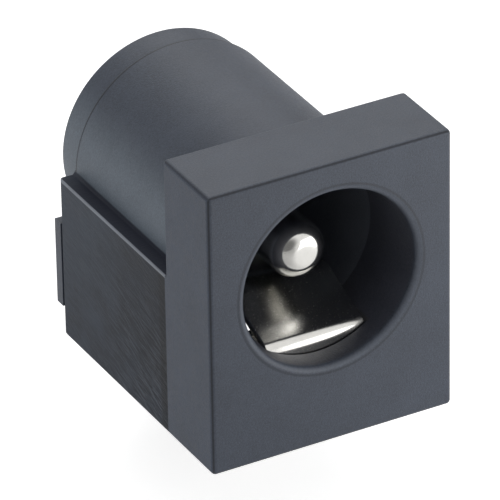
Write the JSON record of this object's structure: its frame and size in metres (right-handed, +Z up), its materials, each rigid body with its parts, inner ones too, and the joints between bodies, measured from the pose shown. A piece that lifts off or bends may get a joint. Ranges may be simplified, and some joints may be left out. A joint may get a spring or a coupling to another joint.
{
  "type": "dc barrel jack",
  "caption": "Right-angle board-mount DC power jack: square-faced flange with a round plug bore, centre pin, sprung sleeve contact and solder tails.",
  "frame": {"origin": "on the board seat, under the plug axis, in the plane of the front face", "axes": "+X across the width, +Y from the front face to the rear, +Z up from the board; a plug goes in along +Y"},
  "size_m": [0.009, 0.0117, 0.0139],
  "materials": {
    "housing_plastic": "matte blue-grey moulded thermoplastic, finely mottled",
    "cap_plastic": "matte grey moulded thermoplastic",
    "pin_plating": "turned brass, bright nickel plate",
    "terminal_plating": "stamped brass, tin plate",
    "spring_plating": "spring bronze strip, bright nickel plate",
    "contact_plating": "stamped brass, tin plate"
  },
  "bodies": {
    "root": {"housing": "housing_plastic", "rear_cap": "cap_plastic", "centre_pin": "pin_plating", "pin_terminal": "terminal_plating", "sleeve_spring": "spring_plating", "switch_contact": "contact_plating"}
  },
  "joints": []
}
